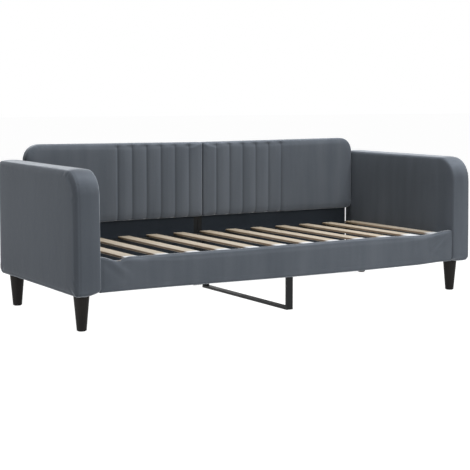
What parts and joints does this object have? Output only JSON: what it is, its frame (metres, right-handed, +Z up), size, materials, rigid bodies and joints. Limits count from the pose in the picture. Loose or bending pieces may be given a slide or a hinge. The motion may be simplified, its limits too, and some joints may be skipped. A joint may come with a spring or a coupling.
{
  "type": "daybed",
  "caption": "Velvet daybed with rounded box arms, a two-part channelled backrest, slatted base, tapered legs and a flat steel middle support.",
  "frame": {"origin": "on the floor, under the middle of the bed's length and depth", "axes": "+X along the bed towards the right arm as seen from the front, -Y towards the front, +Z up"},
  "size_m": [2.264, 0.941, 0.791],
  "materials": {
    "velvet": "short-pile velvet over thin foam, dark grey",
    "covered_board": "plywood covered with dark grey fabric",
    "pine": "planed pine, untreated",
    "plywood": "plywood, untreated",
    "slat_wood": "pale planed pine slats",
    "leg_wood": "satin black lacquer over wood",
    "ledge_wood": "black stained wood",
    "black_steel": "black powder-coated flat tube and plate",
    "glide_plastic": "matt black plastic",
    "zinc": "zinc-plated steel"
  },
  "bodies": {
    "root": {"left_arm_upholstery": "velvet", "left_arm_inner_panel": "plywood", "left_arm_outer_panel": "plywood", "left_arm_front_post": "pine", "left_arm_rear_post": "pine", "left_arm_top_rail": "pine", "left_arm_bottom_rail": "pine", "left_arm_side_rail": "pine", "left_arm_corner_former": "plywood", "left_backrest_pad": "velvet", "left_backrest_board": "plywood", "left_rear_board": "covered_board", "left_rear_middle_post": "black_steel", "right_arm_upholstery": "velvet", "right_arm_inner_panel": "plywood", "right_arm_outer_panel": "plywood", "right_arm_front_post": "pine", "right_arm_rear_post": "pine", "right_arm_top_rail": "pine", "right_arm_bottom_rail": "pine", "right_arm_side_rail": "pine", "right_arm_corner_former": "plywood", "right_backrest_pad": "velvet", "right_backrest_board": "plywood", "right_rear_board": "covered_board", "right_rear_middle_post": "black_steel", "front_left_leg": "leg_wood", "front_right_leg": "leg_wood", "rear_left_leg": "leg_wood", "rear_right_leg": "leg_wood", "leg_glides": "glide_plastic", "leg_bolts": "zinc", "leg_nuts": "zinc", "front_rail_board": "pine", "front_rail_upholstery": "velvet", "front_slat_ledge": "ledge_wood", "rear_slat_beam": "black_steel", "support_front_post": "black_steel", "support_rear_post": "black_steel", "support_floor_bar": "black_steel", "frame_brackets": "black_steel", "bracket_bolts": "zinc", "backrest_bolts": "zinc", "backrest_end_rods": "zinc", "rear_post_rods": "zinc", "slat_screws": "zinc", "slat_1": "slat_wood", "slat_2": "slat_wood", "slat_3": "slat_wood", "slat_4": "slat_wood", "slat_5": "slat_wood", "slat_6": "slat_wood", "slat_7": "slat_wood", "slat_8": "slat_wood", "slat_9": "slat_wood", "slat_10": "slat_wood", "slat_11": "slat_wood", "slat_12": "slat_wood", "slat_13": "slat_wood"}
  },
  "joints": []
}
